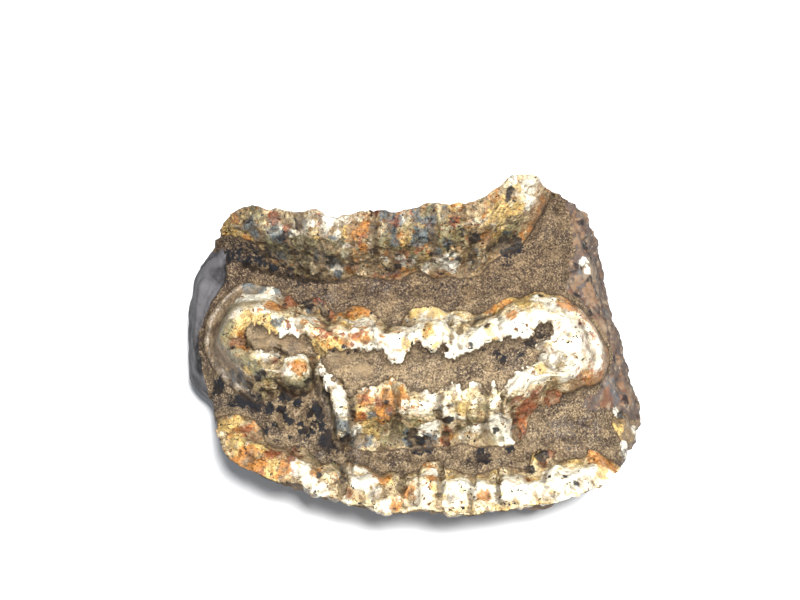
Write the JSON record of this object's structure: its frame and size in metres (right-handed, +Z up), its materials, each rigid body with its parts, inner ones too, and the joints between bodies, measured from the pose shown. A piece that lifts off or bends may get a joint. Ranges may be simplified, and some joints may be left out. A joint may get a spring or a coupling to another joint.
{
  "type": "fossil tooth",
  "caption": "Broken fossil molar fragment with crosswise worn enamel ridges, sunken basins, sediment-filled valleys and a flat worn underside.",
  "frame": {"origin": "middle of the bounding box's underside, on the flat worn underside", "axes": "+X along the ridges, from the smooth dark lump towards the tall cusp's end; +Y from the low broken face towards the tall broken face; +Z up, out of the chewing surface"},
  "size_m": [0.0959, 0.0664, 0.0446],
  "materials": {
    "tooth": "mottled cream, honey, rust and slate fossil enamel with sandy brown sediment in the valleys"
  },
  "bodies": {
    "root": {"tooth": "tooth"}
  },
  "joints": []
}
